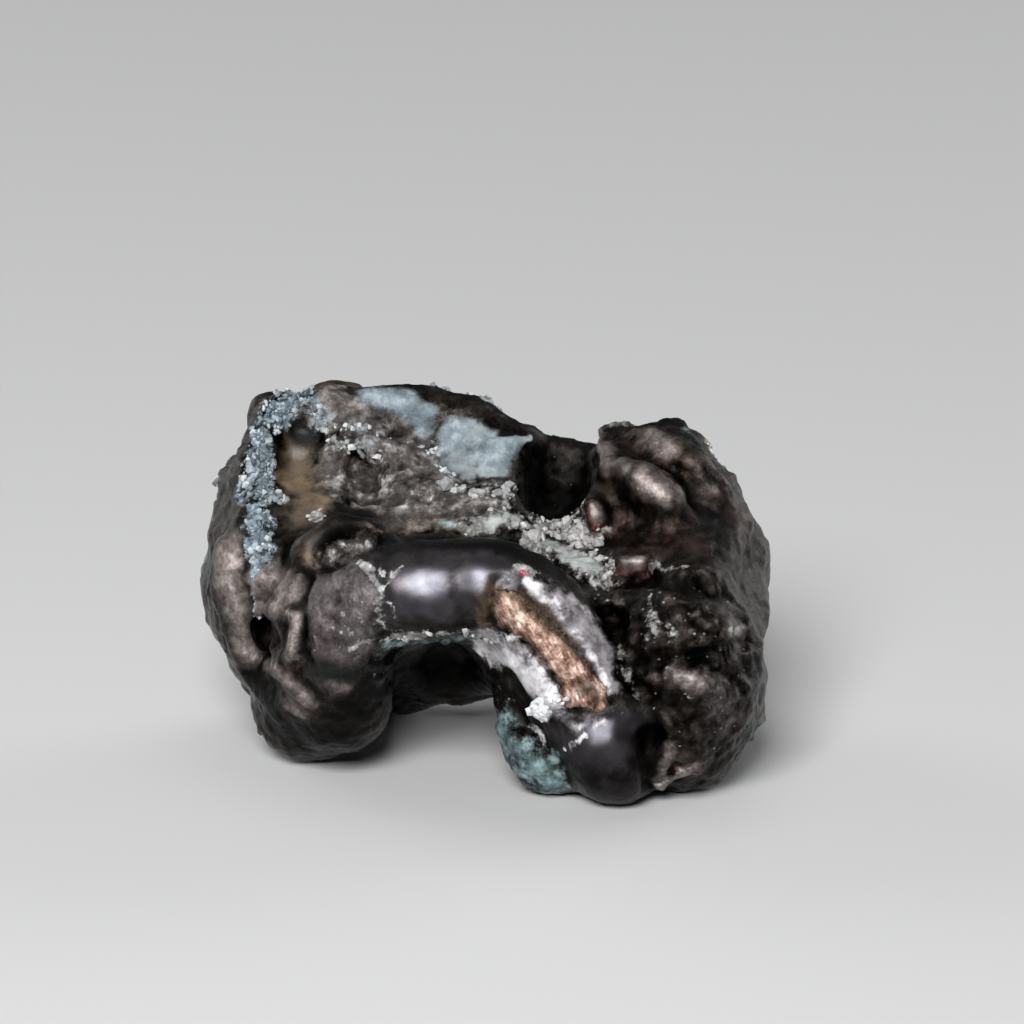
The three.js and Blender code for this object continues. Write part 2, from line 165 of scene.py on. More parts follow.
# Paint strokes for each mask: points in the front view's pixels, radius in mm, strength
PAINT = {
    # Granular pale crust
    "crust": [
        # Down the left rim
        ([(298, 390), (290, 402), (280, 412)], 0.95, 1),
        ([(278, 412), (262, 412), (252, 424)], 0.6, 0.65),
        ([(300, 400), (314, 414)], 0.7, 0.7),
        ([(284, 420), (270, 432)], 0.35, 0.75),
        ([(262, 436), (259, 455)], 0.6, 0.9),
        ([(258, 458), (256, 475), (262, 488)], 0.95, 1),
        ([(246, 472), (250, 480)], 0.5, 0.8),
        ([(264, 490), (261, 508)], 0.38, 0.8),
        ([(276, 497), (281, 499)], 0.35, 0.9),
        ([(253, 516), (265, 522)], 0.55, 0.9),
        ([(247, 530), (255, 532)], 0.35, 0.75),
        ([(259, 542), (263, 556)], 0.7, 0.95),
        ([(258, 560), (253, 573)], 0.4, 0.75),
        ([(238, 497), (242, 506)], 0.3, 0.75),
        ([(316, 514), (322, 516)], 0.3, 0.85),
        # On the plate
        ([(312, 420), (328, 428)], 0.6, 0.75),
        ([(334, 440), (368, 450)], 0.7, 0.7),
        ([(330, 425), (380, 432), (420, 450)], 1.2, 0.45),
        ([(340, 480), (400, 495), (440, 500)], 1.1, 0.42),
        ([(440, 484), (475, 492), (508, 492)], 0.7, 0.6),
        ([(430, 450), (450, 475)], 0.6, 0.7),
        # Over the valley behind the bar
        ([(474, 524), (500, 517), (524, 521)], 0.8, 0.9),
        ([(508, 505), (512, 490)], 0.5, 0.75),
        ([(540, 528), (575, 528), (592, 545)], 1.0, 0.8),
        ([(535, 540), (560, 552), (585, 565), (602, 572)], 0.9, 0.9),
        # Along the bar's lower edge
        ([(398, 637), (428, 635)], 0.4, 0.95),
        ([(440, 634), (462, 632), (484, 637)], 0.35, 0.95),
        # In the pocket under the loop, and above the bare copper
        ([(326, 560), (345, 548), (366, 544)], 0.6, 0.5),
        ([(508, 574), (520, 568), (532, 572)], 0.4, 1),
        # On the right mass
        ([(622, 656), (632, 682)], 0.35, 0.65),
        ([(652, 616), (668, 632)], 0.45, 0.55),
    ],
    # Thin pale veins
    "vein": [
        ([(363, 563), (373, 580), (382, 595), (380, 610), (385, 628)], 0.25, 1),
        ([(372, 568), (384, 572)], 0.15, 0.9),
        ([(380, 600), (392, 606), (396, 618)], 0.16, 0.9),
        ([(382, 586), (397, 572), (407, 565)], 0.15, 0.95),
        ([(340, 612), (343, 626), (352, 634)], 0.14, 0.85),
        ([(352, 650), (366, 642), (390, 640)], 0.2, 0.85),
        ([(334, 628), (345, 640), (343, 654)], 0.12, 0.85),
        ([(356, 620), (363, 634), (358, 646), (368, 655)], 0.12, 0.85),
        ([(312, 634), (318, 650)], 0.12, 0.8),
        ([(372, 654), (385, 660), (399, 650)], 0.14, 0.85),
        ([(486, 628), (500, 634)], 0.2, 0.9),
        ([(655, 567), (684, 565)], 0.22, 1.3),
        ([(648, 592), (650, 606), (645, 622), (647, 638)], 0.15, 1),
        ([(622, 648), (629, 660), (635, 682)], 0.18, 1),
        ([(664, 664), (674, 670)], 0.14, 0.9),
        ([(684, 694), (692, 704)], 0.14, 0.9),
        ([(650, 616), (655, 640)], 0.25, 0.8),
        ([(634, 680), (638, 696)], 0.2, 0.8),
        ([(662, 782), (672, 774), (690, 770)], 0.2, 0.75),
        ([(486, 672), (504, 698), (526, 724)], 0.12, 0.8),
    ],
    # The white stones beside the bare copper
    "stones": [
        ([(536, 716), (544, 705), (558, 698)], 0.5, 1),
    ],
    # Larger pale lumps in the valley
    "pebbles": [
        ([(484, 522), (520, 520)], 0.4, 0.8),
        ([(545, 534), (575, 530), (594, 546)], 0.6, 0.8),
        ([(535, 540), (552, 556)], 0.5, 0.8),
        ([(590, 556), (604, 570)], 0.5, 0.7),
        ([(440, 486), (475, 492), (506, 490)], 0.5, 0.6),
    ],
    # Where the crust is tinged blue
    "azure": [
        ([(304, 392), (258, 420), (255, 480), (256, 560)], 1.8, 1),
        ([(366, 394), (424, 415), (475, 450), (530, 438)], 2.2, 1),
    ],
    # Smooth pale bloom
    "bloom": [
        ([(368, 394), (400, 400), (420, 414)], 0.85, 0.95),
        ([(420, 414), (424, 432)], 0.5, 0.9),
        ([(450, 438), (478, 440)], 0.9, 1.15),
        ([(458, 456), (490, 456)], 1.0, 1.2),
        ([(474, 468), (494, 468)], 0.65, 1.15),
        ([(492, 446), (506, 446)], 0.6, 1.15),
        ([(506, 446), (519, 441)], 0.4, 1.2),
        ([(519, 441), (532, 437)], 0.2, 1.2),
        ([(554, 546), (566, 552)], 0.6, 1.1),
        ([(572, 560), (592, 568)], 0.6, 1.1),
        # A painted glint: a small pale spot on the right mass's edge
        ([(733, 630), (738, 634)], 0.25, 1.1),
        ([(488, 522), (498, 520)], 0.45, 1),
        ([(512, 516), (518, 524)], 0.4, 1),
    ],
    # White chalky crust with a soft gloss
    "chalk": [
        ([(490, 644), (512, 668), (532, 682)], 0.95, 1.35),
        ([(536, 680), (552, 690)], 0.5, 0.95),
        ([(536, 716), (546, 704), (558, 698)], 0.55, 1.3),
        ([(533, 726), (541, 738)], 0.25, 1.0),
        ([(563, 750), (574, 738), (583, 734)], 0.2, 0.9),
        ([(528, 582), (545, 598), (564, 618)], 0.42, 0.9),
        ([(564, 618), (586, 644), (606, 684)], 0.25, 0.85),
        ([(496, 640), (506, 634), (522, 638)], 0.25, 0.8),
    ],
    # Lilac-grey crust
    "lilac": [
        ([(532, 586), (560, 614), (586, 644), (610, 686)], 0.6, 1.05),
        ([(556, 596), (584, 622), (606, 656)], 0.95, 0.85),
        ([(492, 640), (515, 662), (548, 694)], 1.2, 1),
        ([(556, 714), (584, 716), (606, 708)], 0.6, 0.6),
    ],
    # Pale green crust
    "green": [
        ([(395, 642), (430, 640), (462, 637), (482, 640)], 0.6, 0.85),
        # On the leg's foot: pale green crust, partly a painted teal reflection
        ([(490, 712), (502, 735), (520, 760), (548, 780)], 1.3, 0.9),
        ([(556, 545), (580, 560), (600, 570)], 0.5, 0.6),
        ([(440, 525), (470, 528)], 0.4, 0.7),
    ],
    # Bare copper, and the brown metal beside it
    "copper": [
        ([(498, 602), (506, 620)], 0.65, 1),
        ([(508, 606), (535, 634), (560, 660)], 0.85, 1.1),
        ([(556, 652), (580, 674)], 0.8, 1.1),
        ([(570, 682), (576, 698)], 0.65, 1.2),
        ([(582, 684), (596, 698)], 0.65, 1.2),
    ],
    "bronze": [
        ([(518, 594), (545, 616), (576, 646)], 0.42, 0.9),
        ([(588, 692), (595, 700)], 0.4, 0.7),
        ([(492, 588), (484, 620)], 0.5, 0.9),
    ],
    # Red oxide on the knots, and the red dot above the bare copper
    "cuprite": [
        ([(592, 508), (596, 532)], 0.6, 0.8),
        ([(622, 566), (644, 570)], 0.5, 0.75),
        ([(592, 540), (606, 552)], 0.6, 0.5),
        ([(668, 766), (678, 770)], 0.35, 0.6),
    ],
    "ruby": [
        ([(521, 574), (525, 575)], 0.17, 1.2),
    ],
    # Ochre in the hollow inside the rim, and in two gaps
    "ochre": [
        ([(300, 462), (299, 480), (304, 510)], 1.3, 1),
        ([(302, 440), (300, 460)], 1.2, 0.8),
        ([(314, 528), (309, 545), (306, 562)], 0.45, 0.6),
        ([(410, 520), (450, 528), (482, 530)], 0.45, 0.7),
    ],
    # The stony brown-grey ground of the plate
    "rock": [
        ([(325, 405), (360, 425), (400, 440), (430, 470)], 1.9, 1),
        ([(330, 470), (370, 495), (420, 505), (480, 505)], 1.7, 1),
        ([(262, 572), (290, 590)], 0.8, 0.8),
        ([(326, 560), (366, 544)], 0.7, 0.9),
    ],
    # Red-brown metal
    "ruddy": [
        ([(606, 450), (640, 480), (690, 470), (720, 505)], 2.2, 0.9),
        ([(600, 520), (640, 545), (680, 540)], 1.8, 0.85),
        ([(230, 550), (245, 620), (260, 660)], 1.2, 0.8),
        ([(275, 600), (285, 660), (300, 700)], 1.2, 0.75),
        ([(665, 760), (690, 775)], 0.9, 0.85),
        ([(300, 520), (312, 535), (308, 562)], 0.9, 0.9),
        ([(720, 690), (735, 720)], 1.3, 0.55),
    ],
    # Pinkish rubbed ridges, painted light enough to stand in for the highlights on them
    "pink_wear_and_painted_highlight": [
        ([(228, 545), (230, 580), (240, 612), (250, 650)], 0.7, 1.35),
        ([(256, 574), (275, 580), (285, 596)], 0.8, 1.2),
        ([(260, 606), (280, 610), (296, 617)], 0.4, 1.1),
        ([(296, 618), (291, 658)], 0.35, 1),
        ([(268, 662), (287, 680), (308, 702)], 0.4, 1.1),
        ([(336, 686), (344, 689)], 0.4, 0.75),
        ([(674, 674), (700, 682)], 0.5, 0.95),
        ([(732, 628), (738, 638)], 0.4, 0.9),
        ([(288, 705), (296, 709)], 0.4, 0.7),
        ([(616, 462), (630, 470)], 0.5, 0.75),
        ([(640, 474), (668, 490)], 0.75, 0.95),
        ([(650, 434), (668, 446)], 0.6, 0.75),
        ([(702, 474), (712, 484)], 0.45, 0.65),
        ([(604, 446), (608, 470)], 0.4, 0.6),
        ([(594, 507), (598, 518)], 0.4, 1.5),
        ([(626, 560), (640, 561)], 0.35, 1.2),
        ([(668, 748), (660, 784)], 0.3, 1),
        ([(662, 785), (692, 768)], 0.3, 1),
        ([(326, 404), (352, 412)], 0.9, 0.45),
    ],
    # The mauve-brown shoulder of the bar
    "mauve": [
        ([(320, 590), (345, 600), (350, 640), (335, 660)], 1.6, 1.05),
        ([(710, 690), (735, 715)], 1.1, 0.6),
    ],
    # Painted shade: black in the gaps, under the arch, on the feet and the bulb, at the top of the ochre
    # hollow, and in dark bands on the bar that stand in for its dark reflections
    "painted_shade": [
        ([(548, 450), (565, 490), (570, 515)], 1.5, 1),
        ([(530, 470), (528, 500)], 0.7, 0.9),
        ([(650, 585), (700, 590)], 0.7, 0.9),
        ([(390, 544), (450, 540), (515, 546)], 0.85, 1.2),
        ([(454, 568), (456, 602)], 0.4, 0.6),
        ([(515, 550), (545, 560), (560, 574)], 0.85, 1.2),
        ([(640, 662), (680, 662), (712, 653)], 0.4, 0.85),
        ([(650, 700), (652, 785)], 0.6, 0.9),
        ([(590, 780), (620, 785), (636, 765)], 1.0, 0.75),
        ([(484, 664), (504, 694), (528, 726), (560, 765)], 0.35, 0.8),
        ([(524, 640), (545, 670), (562, 692)], 0.16, 0.8),
        ([(385, 665), (420, 675), (462, 668)], 1.6, 0.95),
        ([(296, 428), (318, 436)], 0.8, 0.9),
        ([(336, 552), (342, 549)], 0.3, 0.9),
        ([(316, 536), (331, 523), (360, 516), (390, 524)], 0.7, 0.85),
        ([(690, 505), (725, 530)], 1.2, 0.9),
        ([(255, 682), (274, 712), (300, 738), (340, 735), (362, 706)], 1.6, 0.85),
        ([(308, 576), (300, 612), (305, 652), (318, 672)], 0.5, 0.9),
        ([(314, 664), (344, 678), (384, 668)], 0.9, 0.9),
    ],
    # Smooth metal
    "polish": [
        ([(395, 585), (450, 580), (505, 575)], 2.1, 1),
        ([(540, 556), (556, 572)], 0.8, 1),
        ([(590, 740), (625, 745), (612, 775)], 1.8, 1),
    ],
    # Painted highlights: bright, glossier spots on the smooth metal where the lamps' glints fall, and a
    # gleam on the bar's lower side
    "glossy_painted_highlight": [
        ([(422, 584), (430, 586)], 0.7, 1),
        ([(477, 583), (482, 585)], 0.55, 1.1),
        ([(596, 732), (603, 728)], 0.6, 0.55),
        ([(404, 610), (442, 617)], 0.6, 0.35),
        ([(548, 562), (553, 568)], 0.3, 0.7),
    ],
    # Gritty metal with pale specks
    "grit": [
        ([(545, 460), (560, 500)], 1.0, 0.7),
        ([(670, 610), (720, 630), (700, 700), (690, 760)], 2.6, 1),
        ([(620, 600), (640, 650), (650, 700)], 1.3, 1),
        ([(318, 652), (350, 662), (395, 655)], 1.0, 1),
        ([(340, 600), (375, 620)], 0.9, 0.8),
    ],
}

# Wandering of the paint's edges: spacing and reach in mm
WANDER = [(2.2, 0.35), (0.7, 0.2)]
WANDER_SEED = 5

# Unevenness of the paint's strength: share, and spacing in mm
UNEVEN_SHARE = 0.3
UNEVEN_SPACING = 1.5
UNEVEN_SEED = 31

# Patches on the sides that the front view doesn't show: the mask, spacing in mm, seed, middle, swing
FAR_PATCHES = [
    ("crust", 6, 3, 0.17, 1.2),
    ("azure", 5, 21, 0.3, 1.5),
    ("rock", 5, 11, 0.1, 1.5),
    ("green", 4, 14, -0.05, 1.4),
    ("ruddy", 6, 3, 0.4, -1.4),
    ("bronze", 3, 17, -0.12, 1.6),
    ("grit", 5, 41, 0.5, 1.5),
    ("polish", 7, 61, 0.1, 1.8),
    ("copper", 3.5, 53, -0.35, 1.8),
]

# Uneven patches: how fast their finer sizes fade, the step between sizes, and the number of sizes
PATCH_FRACTAL = (1, 2, 4)

# The far sides begin where the surface turns away from the front view, at this level and slope, and
# their patches are at most this strong
FAR_LEVEL = 0.6
FAR_SLOPE = 2
FAR_MOST = 0.8

# The bar's back isn't a far side: half its length, how far forward it is, and its soft edge, in mm
BAR_HALF_LENGTH = 13
BAR_FRONT = -1
BAR_FADE = 2

# Finishes with calm relief, and the most that they take away
CALM_FINISHES = ("polish", "copper", "lilac", "bloom", "ochre", "chalk")
CALM_MOST = 0.92

# Relief: vertex group, kind of pattern, spacing and height in mm, level that stays put, and settings
RELIEF = [
    ("far_lumps", "MARBLE", 4.5, 0.8, 0.5, {"noise_depth": 1, "turbulence": 9}),
    ("far_lumps", "CLOUDS", 3.5, 0.9, 0.5, {"noise_depth": 2}),
    ("far_lumps", "VORONOI", 2.2, -0.5, 0.5, {}),
    ("rough_metal", "CLOUDS", 1.5, 0.45, 0.5, {"noise_depth": 4}),
    ("rough_metal", "CLOUDS", 0.5, 0.16, 0.5, {"noise_depth": 3}),
    ("grit_lumps", "CLOUDS", 1.1, 0.6, 0.5, {"noise_depth": 4}),
    ("grit_lumps", "VORONOI", 0.9, -0.3, 0.5, {}),
    ("rock_lumps", "CLOUDS", 1.7, 1.0, 0.5, {"noise_depth": 4}),
    ("rock_lumps", "VORONOI", 0.8, -0.4, 0.5, {}),
    ("crust_lumps", "VORONOI", 1.1, -0.6, 0.6, {}),
    ("crust_lumps", "CLOUDS", 0.6, 0.4, 0.5, {"noise_depth": 2}),
]

# Grains: the mask that they lie on, how many, their radius in mm, and their brightness
GRAINS = [
    ("crust", 2600, (0.05, 0.24), (0, 1)),
    ("pebbles", 80, (0.15, 0.38), (0.3, 0.8)),
    ("stones", 34, (0.18, 0.42), (1.05, 1.05)),
]
GRAIN_SEED = 7
GRAIN_LIFT = 0.05
GRAIN_LUMPS = 0.6
GRAIN_STRETCH = (0.6, 0.8)
GRAIN_SIZE_POWER = 2
GRAIN_TONE_POWER = 1.5

# Grains start at this level of their mask and get denser over this rise
GRAIN_START = 0.35
GRAIN_RISE = 0.4

# How dense they are where the crust isn't blue, and the masks that keep them off from a level on
GRAIN_GREY_SHARE = 0.12
GRAIN_FREE = {"ruby": 0.3, "bloom": 0.5}

# Patterns of the materials: spacing in mm, number of finer sizes, and the strength of these
PATTERNS = {
    "mottle": (1.0, 5, 0.65),
    "cloudy": (2.6, 4, 0.6),
    "speckle": (0.35, 5, 0.7),
    "fine": (0.14, 4, 0.7),
}
FIBRES = (0.3, 3, 0.6)
FIBRE_STRETCH = 0.75
STAINS = (0.5, 4, 0.65)
SPECK_SPACING = 0.32

# Edges of each mask: the pattern that tears them, how far it tears them, and how soft they are
EDGES = {
    "crust": ("torn", 2.6, 0.14),
    "vein": ("torn", 2.0, 0.14),
    "azure": ("mottle", 1.5, 0.4),
    "bloom": ("torn", 0.5, 0.16),
    "chalk": ("torn", 1.8, 0.2),
    "lilac": ("torn", 1.4, 0.25),
    "green": ("torn", 2.0, 0.2),
    "copper": ("torn", 1.6, 0.08),
    "bronze": ("torn", 1.2, 0.25),
    "cuprite": ("torn", 0.8, 0.2),
    "ruby": ("torn", 0.4, 0.2),
    "ochre": ("mottle", 1.2, 0.35),
    "rock": ("mottle", 1.2, 0.25),
    "ruddy": ("cloudy", 1.4, 0.35),
    "pink_wear_and_painted_highlight": ("cloudy", 1.0, 0.5),
    "mauve": ("mottle", 1.2, 0.35),
    "painted_shade": ("mottle", 1.2, 0.35),
    "polish": ("mottle", 0.5, 0.25),
    "glossy_painted_highlight": ("cloudy", 0.3, 0.5),
    "grit": ("cloudy", 1.8, 0.15),
}

# Colours of each finish: the pattern that they follow, then its levels with their colours
COLOURS = {
    "tarnish": ("torn", [
        (0.38, (0.006, 0.0051, 0.0043)),
        (0.5, (0.014, 0.0118, 0.01)),
        (0.62, (0.036, 0.03, 0.026)),
    ]),
    "polish": ("cloudy", [
        (0.35, (0.036, 0.033, 0.036)),
        (0.65, (0.072, 0.066, 0.074)),
    ]),
    "ruddy": ("mottle", [
        (0.38, (0.007, 0.0045, 0.0034)),
        (0.54, (0.028, 0.0155, 0.0118)),
        (0.7, (0.1, 0.058, 0.045)),
    ]),
    "mauve": ("torn", [
        (0.36, (0.035, 0.029, 0.028)),
        (0.5, (0.1, 0.085, 0.085)),
        (0.62, (0.22, 0.197, 0.198)),
    ]),
    "rock": ("patchy", [
        (0.38, (0.019, 0.0155, 0.013)),
        (0.5, (0.09, 0.077, 0.07)),
        (0.6, (0.31, 0.283, 0.266)),
    ]),
    "ochre": ("cloudy", [
        (0.36, (0.055, 0.038, 0.023)),
        (0.5, (0.115, 0.08, 0.047)),
        (0.64, (0.22, 0.155, 0.093)),
    ]),
    "cuprite": ("torn", [
        (0.36, (0.06, 0.01, 0.009)),
        (0.5, (0.17, 0.045, 0.037)),
        (0.64, (0.36, 0.16, 0.135)),
    ]),
    # Pinkish rubbed metal, light enough to be a painted highlight
    "pink_wear_and_painted_highlight": ("torn", [
        (0.38, (0.07, 0.055, 0.05)),
        (0.5, (0.2, 0.168, 0.157)),
        (0.62, (0.42, 0.36, 0.34)),
    ]),
    "lilac": ("mottle", [
        (0.36, (0.13, 0.118, 0.126)),
        (0.48, (0.27, 0.25, 0.264)),
        (0.62, (0.46, 0.435, 0.46)),
    ]),
    "green": ("patchy", [
        (0.38, (0.023, 0.04, 0.044)),
        (0.48, (0.094, 0.148, 0.158)),
        (0.6, (0.255, 0.35, 0.36)),
    ]),
    "chalk": ("patchy", [
        (0.38, (0.34, 0.32, 0.335)),
        (0.48, (0.56, 0.545, 0.565)),
        (0.6, (0.84, 0.84, 0.86)),
    ]),
    "copper": ("worn", [
        (0.4, (0.08, 0.045, 0.032)),
        (0.47, (0.24, 0.143, 0.108)),
        (0.54, (0.47, 0.315, 0.252)),
        (0.63, (0.9, 0.72, 0.63)),
    ]),
    "bronze": ("streaks", [
        (0.36, (0.04, 0.026, 0.017)),
        (0.62, (0.15, 0.105, 0.07)),
    ]),
    "grey_crust": ("torn", [
        (0.38, (0.034, 0.033, 0.03)),
        (0.46, (0.14, 0.14, 0.134)),
        (0.54, (0.29, 0.29, 0.28)),
        (0.64, (0.64, 0.64, 0.62)),
    ]),
    "blue_crust": ("torn", [
        (0.38, (0.016, 0.025, 0.032)),
        (0.46, (0.063, 0.09, 0.113)),
        (0.54, (0.135, 0.187, 0.23)),
        (0.64, (0.33, 0.42, 0.49)),
    ]),
    "grey_bloom": ("patchy", [
        (0.36, (0.22, 0.236, 0.228)),
        (0.64, (0.58, 0.615, 0.6)),
    ]),
    "blue_bloom": ("frosty", [
        (0.36, (0.075, 0.102, 0.118)),
        (0.5, (0.19, 0.24, 0.27)),
        (0.64, (0.4, 0.465, 0.5)),
    ]),
}
PLAIN_COLOURS = {
    # Painted highlight: a bright bluish grey
    "glossy_painted_highlight": (0.125, 0.125, 0.145),
    "rubbed": (0.075, 0.06, 0.053),
    # Painted shade: near black
    "painted_shade": (0.008, 0.0075, 0.007),
    "ruby": (0.3, 0.03, 0.06),
    "specks": (0.2, 0.205, 0.19),
}
# Painted shade in hollows: the colour it is multiplied by, from a flat to a deep hollow
HOLLOW_PAINTED_SHADE = [(0, (1, 1, 1)), (1, (0.25, 0.22, 0.2))]
GREY_GRAINS = [(0.25, (0.11, 0.106, 0.102)), (0.58, (0.52, 0.512, 0.5)), (0.85, (0.85, 0.88, 0.9))]
BLUE_GRAINS = [(0.25, (0.045, 0.06, 0.07)), (0.58, (0.3, 0.37, 0.415)), (0.85, (0.85, 0.88, 0.9))]
GRAIN_ROUGHNESS = 0.6

# Finishes over the tarnish from the lowest to the highest: how metallic and how rough each is, if it says
FINISHES = [
    ("polish", None, 0.42),
    ("glossy_painted_highlight", None, 0.36),
    ("ruddy", 0.85, None),
    ("mauve", 0.6, 0.48),
    ("rubbed", None, None),
    ("rock", 0.1, 0.6),
    ("ochre", 0.0, 0.45),
    ("painted_shade", None, 0.5),
    ("cuprite", 0.5, 0.25),
    ("pink_wear_and_painted_highlight", 0.6, 0.5),
    ("lilac", 0.25, 0.3),
    ("green", 0.0, 0.7),
    ("chalk", 0.0, 0.3),
    ("copper", 1.0, 0.34),
    ("bronze", 0.8, 0.45),
    ("crust", 0.0, 0.75),
    ("bloom", 0.0, 0.6),
    ("ruby", 0.0, 0.2),
    ("specks", 0.3, 0.4),
]
TARNISH_ROUGHNESS = (0.24, 0.42)

# The material's bump, and the finishes where it is strong or weak
STONY_FINISHES = ("rock", "crust", "mauve", "green")
WAXY_FINISHES = ("pink_wear_and_painted_highlight", "ochre", "lilac", "chalk")
BUMP_STRENGTH = 0.6
BUMP_HEIGHT = 0.25 * MM

# Softboxes: name, azimuth and elevation in degrees, distance and size in metres, power in watts
LIGHTS = [
    ("key", -12, 38, 0.5, 0.22, 3.2),
    ("overhead", 180, 70, 0.7, 0.5, 0.8),
    ("right", 128, 18, 0.6, 0.3, 1.1),
    ("left", -128, 18, 0.6, 0.3, 1.1),
]
LIGHTS_AIM = Vector((0, 0, 0.01))
WORLD_COLOUR = (0.045, 0.047, 0.052, 1)
FLOOR_SIZE = 3
FLOOR_COLOUR = (0.6, 0.6, 0.6, 1)
FLOOR_ROUGHNESS = 0.9
CLIP_START = 0.01


def select_only(piece):
    bpy.ops.object.select_all(action="DESELECT")
    piece.select_set(True)
    bpy.context.view_layer.objects.active = piece


def apply_modifier(piece, kind, **settings):
    select_only(piece)
    modifier = piece.modifiers.new(kind.lower(), kind)
    for name, value in settings.items():
        setattr(modifier, name, value)
    bpy.ops.object.modifier_apply(modifier=modifier.name)


def copy_of_solid(node, name):
    """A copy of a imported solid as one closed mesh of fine, even faces."""
    select_only(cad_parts[node])
    bpy.ops.object.duplicate()
    piece = bpy.context.active_object
    piece.name = name
    piece.data.name = name
    bpy.ops.object.mode_set(mode="EDIT")
    bpy.ops.mesh.select_all(action="SELECT")
    bpy.ops.mesh.remove_doubles(threshold=MERGE_GAP)
    bpy.ops.object.mode_set(mode="OBJECT")
    apply_modifier(piece, "SUBSURF", levels=1, render_levels=1)
    apply_modifier(piece, "REMESH", mode="VOXEL", voxel_size=VOXEL)
    apply_modifier(piece, "SMOOTH", factor=SMOOTHING_SHARE, iterations=SMOOTHING)
    return piece


def places_of(piece):
    values = np.empty(len(piece.data.vertices) * 3)
    piece.data.vertices.foreach_get("co", values)
    return values.reshape(-1, 3)


def move_to(piece, places):
    piece.data.vertices.foreach_set("co", places.ravel())
    piece.data.update()


def outward(piece):
    values = np.empty(len(piece.data.vertices) * 3)
    piece.data.vertices.foreach_get("normal", values)
    return values.reshape(-1, 3)


def keep_mask(piece, name, mask):
    attribute = piece.data.attributes.new(name, "FLOAT", "POINT")
    attribute.data.foreach_set("value", mask)


def values_of(piece, name):
    values = np.empty(len(piece.data.vertices))
    piece.data.attributes[name].data.foreach_get("value", values)
    return values


def surface_of(piece):
    bpy.context.view_layer.update()
    return BVHTree.FromObject(piece, bpy.context.evaluated_depsgraph_get())


def seen_at(surface, pixel):
    """The place on the surface that shows at a pixel of the front view."""
    across = pixel[0] - VIEW_SIDE / 2
    up = VIEW_SIDE / 2 - pixel[1]
    ahead = (VIEW_RIGHT * across + VIEW_UP * up - VIEW_BACK * FOCAL_PIXELS).normalized()
    return surface.ray_cast(CAMERA_PLACE, ahead)[0]


def along_stroke(surface, pixels):
    """Close places on the surface along a stroke of the front view."""
    found = []
    for start, end in zip(pixels, pixels[1:]):
        steps = max(1, round(math.dist(start, end) / STROKE_STEP))
        for step in range(steps + 1):
            share = step / steps
            pixel = [a + (b - a) * share for a, b in zip(start, end)]
            place = seen_at(surface, pixel)
            if place is not None:
                found.append(place)
    return np.array(found)


def nearness(places, stroke, radius):
    """1 on a stroke, falling evenly to 0 at the radius."""
    gap = np.full(len(places), np.inf)
    for place in stroke:
        gap = np.minimum(gap, ((places - place) ** 2).sum(axis=1))
    return np.clip(1 - np.sqrt(gap) / (radius * MM), 0, 1)


def soft(share):
    return share * share * (3 - 2 * share)


def patches(places, spacing, seed):
    """Uneven patches over the whole nugget, about -1 to 1."""
    shift = Vector((seed, seed * 1.7, seed * 2.3))
    return np.array([noise.fractal(Vector(p) / (spacing * MM) + shift, *PATCH_FRACTAL) for p in places])


def wander(places):
    """Places pushed about a little, so that what is painted on them gets uneven edges."""
    for turn, (spacing, reach) in enumerate(WANDER):
        push = [patches(places, spacing, WANDER_SEED + 3 * turn + axis) for axis in range(3)]
        places = places + np.stack(push, axis=1) * reach * MM
    return places


def sculpt(piece):
    surface = surface_of(piece)
    places = places_of(piece)
    height = np.zeros(len(places))
    for pixels, radius, raise_mm in SCULPT:
        near = nearness(places, along_stroke(surface, pixels), radius * SCULPT_SPREAD)
        height += raise_mm * MM * soft(near)
    move_to(piece, places + outward(piece) * height[:, None])


def paint(piece):
    """One soft mask for each finish, from 0 to about 1 at every vertex."""
    surface = surface_of(piece)
    uneven = 1 + UNEVEN_SHARE * patches(places_of(piece), UNEVEN_SPACING, UNEVEN_SEED)
    places = wander(places_of(piece))
    masks = {}
    for finish, strokes in PAINT.items():
        mask = np.zeros(len(places))
        for pixels, radius, strength in strokes:
            near = nearness(places, along_stroke(surface, pixels), radius * PAINT_SPREAD)
            mask = np.maximum(mask, strength * near)
        masks[finish] = mask * uneven
    return masks


def far_sides(piece):
    """1 on the sides that the front view doesn't show, and 0 on the front and the bar's back."""
    facing = outward(piece) @ np.array(VIEW_BACK)
    hidden = np.clip(FAR_LEVEL - FAR_SLOPE * facing, 0, 1)
    across, along = places_of(piece)[:, :2].T / MM
    inside = np.clip((BAR_HALF_LENGTH - np.abs(across)) / BAR_FADE, 0, 1)
    forward = np.clip((BAR_FRONT - along) / BAR_FADE, 0, 1)
    return hidden * (1 - inside * forward)


def add_far_patches(piece, masks, hidden):
    for name, spacing, seed, middle, swing in FAR_PATCHES:
        spread = np.clip(middle + swing * patches(places_of(piece), spacing, seed), 0, FAR_MOST)
        masks[name] = np.maximum(masks[name], hidden * spread)


def firm(mask, start):
    """A mask that rises twice as fast, from half of a start level on."""
    return np.clip(mask * 2 - start, 0, 1)


def relief_weights(masks, hidden):
    """Where each group of relief lies, from 0 to 1 at every vertex."""
    crust = firm(np.maximum(masks["crust"], masks["green"]), 0.5)
    rock = firm(masks["rock"], 0.3)
    grit = firm(masks["grit"], 0.3)
    calm = np.max([masks[name] for name in CALM_FINISHES], axis=0)
    calm = np.clip(np.maximum(calm * 2, masks["pink_wear_and_painted_highlight"]), 0, CALM_MOST)
    return {
        "crust_lumps": crust * (1 - calm * 0.5),
        "rock_lumps": rock * (1 - calm),
        "rough_metal": (1 - calm) * (1 - rock),
        "grit_lumps": grit * (1 - calm),
        "far_lumps": hidden,
    }


